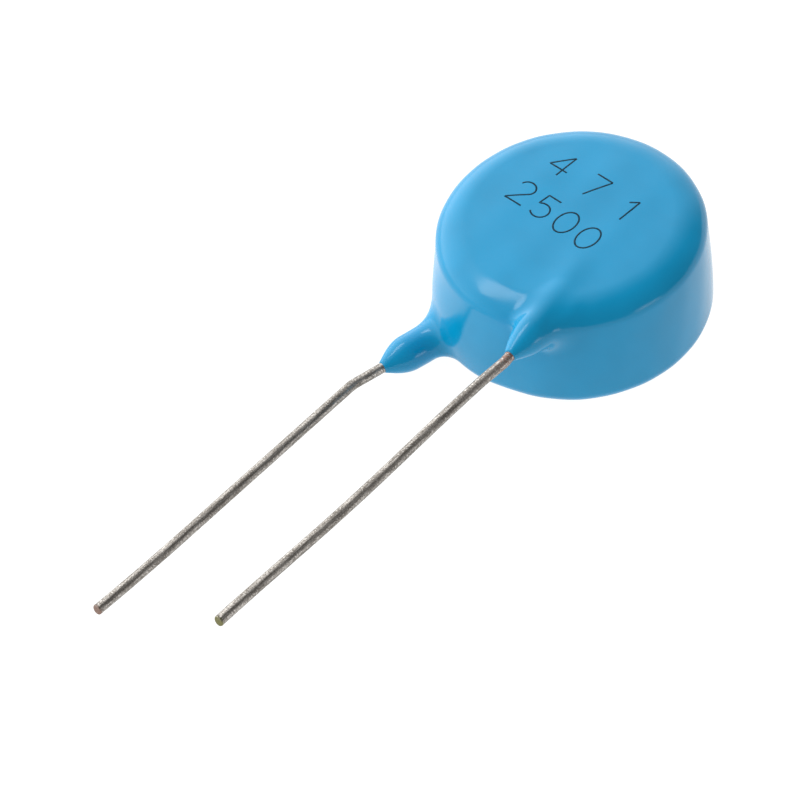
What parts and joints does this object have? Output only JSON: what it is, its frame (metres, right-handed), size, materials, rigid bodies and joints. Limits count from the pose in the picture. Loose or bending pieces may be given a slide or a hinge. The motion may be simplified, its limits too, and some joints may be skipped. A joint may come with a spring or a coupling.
{
  "type": "ceramic disc capacitor",
  "caption": "Thick round disc dipped in glossy blue epoxy, with two parallel wire leads that leave opposite faces through tapered run-downs of the coating.",
  "frame": {"origin": "middle of the unmarked face, which is the face that the part lies on", "axes": "+Z along the disc axis to the marked face, -Y the way both leads run, +X to the right of the marking"},
  "size_m": [0.02, 0.053, 0.0105],
  "materials": {
    "epoxy": "dipped and cured epoxy, glossy",
    "ceramic": "fired and lapped, dull",
    "silver": "fired silver paste, matt",
    "solder": "frozen solder, satin",
    "tinned_wire": "drawn and tinned wire, aged to grey"
  },
  "bodies": {
    "root": {"epoxy_coating": "epoxy", "ceramic_disc": "ceramic", "front_electrode": "silver", "back_electrode": "silver", "front_solder_joint": "solder", "back_solder_joint": "solder", "front_lead": "tinned_wire", "back_lead": "tinned_wire"}
  },
  "joints": []
}
